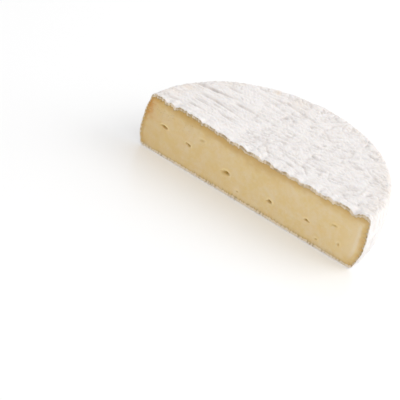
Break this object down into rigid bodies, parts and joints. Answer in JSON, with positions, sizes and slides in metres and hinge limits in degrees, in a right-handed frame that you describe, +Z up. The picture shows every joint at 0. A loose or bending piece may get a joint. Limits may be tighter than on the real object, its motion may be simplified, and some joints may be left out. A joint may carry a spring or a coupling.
{
  "type": "brie",
  "caption": "Half of a small round brie, cut straight across: wrinkled white rind around a pale yellow paste with small gas holes, lying on its flat underside.",
  "frame": {"origin": "centre of the bounding box's underside, on the plane that the cheese rests on", "axes": "+X along the straight cut, to the right when the cut face is looked at; +Y from the cut face towards the round back; +Z up, through the thickness"},
  "size_m": [0.1162, 0.0578, 0.0279],
  "materials": {
    "rind": "matte",
    "paste": "satin"
  },
  "bodies": {
    "root": {"brie_half": "rind"}
  },
  "joints": []
}
